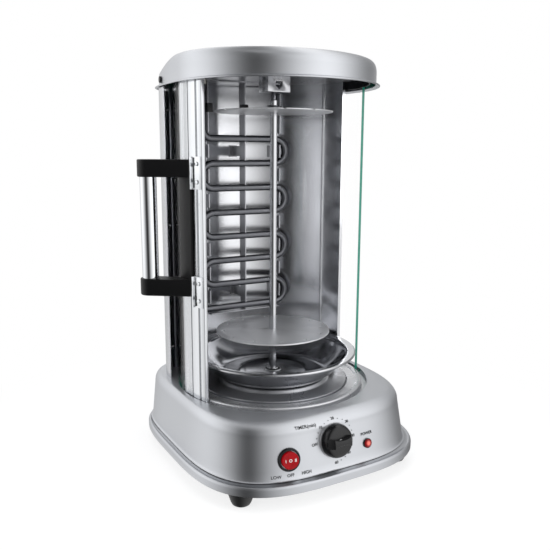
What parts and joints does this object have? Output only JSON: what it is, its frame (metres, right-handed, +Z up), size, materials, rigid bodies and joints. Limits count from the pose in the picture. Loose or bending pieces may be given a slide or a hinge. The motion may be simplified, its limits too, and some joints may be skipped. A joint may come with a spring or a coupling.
{
  "type": "electric skewer grill",
  "caption": "Upright electric grill: a motor turns a vertical spit over a drip tray before a serpentine heater; a curved glass door slides round the back.",
  "frame": {"origin": "on the spit's axis, at the plane the feet stand on", "axes": "+Z up, front with the controls towards -Y, handle at the -X side"},
  "size_m": [0.2801, 0.2749, 0.4332],
  "materials": {
    "housing_steel": "satin stainless sheet",
    "cap_steel": "polished stainless sheet",
    "track_steel": "polished stamped ring",
    "centre_steel": "dark polished plate",
    "inner_steel": "plain sheet steel",
    "dark_sheet": "dark painted sheet",
    "screw_steel": "zinc plated",
    "cap_screw_black": "black oxide",
    "motor_can": "plated can",
    "shaft_steel": "turned steel",
    "spit_steel": "polished stainless",
    "plate_steel": "satin stainless disc",
    "tray_steel": "polished pressed bowl",
    "reflector_steel": "mirror polished",
    "heater_tube": "heat darkened sheath",
    "clamp_black": "black",
    "ceramic_white": "stands for white ceramic",
    "cover_steel": "satin stainless sheet",
    "hanger_steel": "bent stainless sheet",
    "foot_rubber": "matte black",
    "door_glass": "tempered, green edge",
    "stile_aluminium": "drawn profile",
    "shoe_nylon": "black nylon",
    "handle_black": "black moulding",
    "handle_chrome": "chromed tube",
    "knob_black": "black moulding",
    "timer_case": "beige moulding",
    "switch_black": "black moulding",
    "rocker_red": "red translucent",
    "lamp_red": "red translucent lens",
    "terminal_brass": "brass tabs"
  },
  "bodies": {
    "body": {"base_housing": "housing_steel", "bottom_tray": "housing_steel", "foot_1": "foot_rubber", "foot_2": "foot_rubber", "foot_3": "foot_rubber", "foot_4": "foot_rubber", "foot_screws": "screw_steel", "base_screws": "screw_steel", "door_track": "track_steel", "centre_plate": "centre_steel", "motor_bracket": "inner_steel", "motor_screws": "screw_steel", "gear_motor": "motor_can", "reflector": "reflector_steel", "heater_element": "heater_tube", "heater_frame": "inner_steel", "heater_clamps": "clamp_black", "heater_insulators": "ceramic_white", "corner_posts": "inner_steel", "rear_cover": "cover_steel", "cover_screws": "screw_steel", "ceiling_plate": "dark_sheet", "top_track": "dark_sheet", "hanger": "hanger_steel", "cap": "cap_steel", "cap_screws": "cap_screw_black", "timer_body": "timer_case", "timer_nut": "screw_steel", "switch_housing": "switch_black", "switch_terminals": "terminal_brass", "lamp_lens": "lamp_red", "lamp_body": "switch_black", "terminal_block": "ceramic_white", "thermal_cutout": "switch_black", "cord_inlet": "switch_black"},
    "drive": {"motor_shaft": "shaft_steel", "drive_coupling": "shaft_steel"},
    "spit": {"spit_shaft": "spit_steel", "spit_tip": "spit_steel", "drip_ring": "spit_steel", "spit_drive_pin": "shaft_steel", "lower_plate": "plate_steel", "lower_hub": "spit_steel", "upper_disc": "plate_steel", "upper_hub": "spit_steel"},
    "tray": {"drip_tray": "tray_steel", "tray_collar": "spit_steel"},
    "door": {"door_glass": "door_glass", "door_stile": "stile_aluminium", "door_shoes": "shoe_nylon", "handle_frame": "handle_black", "handle_tube": "handle_chrome", "handle_clips": "stile_aluminium", "handle_screws": "screw_steel"},
    "knob": {"timer_knob": "knob_black", "timer_shaft": "shaft_steel"},
    "rocker": {"switch_rocker": "rocker_red"}
  },
  "joints": [
    {"name": "spindle_turn", "type": "hinge", "parent": "body", "child": "drive", "pos_m": [0, 0, 0.07], "axis": [0, 0, 1], "continuous": true},
    {"name": "spit_lift", "type": "slide", "parent": "drive", "child": "spit", "axis": [0, 0, 1], "range_m": [0, 0.006]},
    {"name": "tray_lift", "type": "slide", "parent": "body", "child": "tray", "axis": [0, 0, 1], "range_m": [0, 0.012]},
    {"name": "door_swing", "type": "hinge", "parent": "body", "child": "door", "pos_m": [0, 0, 0.08], "axis": [0, 0, 1], "range_deg": [0, 165]},
    {"name": "timer_turn", "type": "hinge", "parent": "body", "child": "knob", "pos_m": [-0.0045, -0.13284, 0.0555], "axis": [0.0005, 0.984, -0.1781], "range_deg": [0, 270]},
    {"name": "rocker_tilt", "type": "hinge", "parent": "body", "child": "rocker", "pos_m": [-0.05654, -0.13148, 0.04654], "axis": [0.0335, 0.1749, 0.984], "range_deg": [-10, 10]}
  ]
}
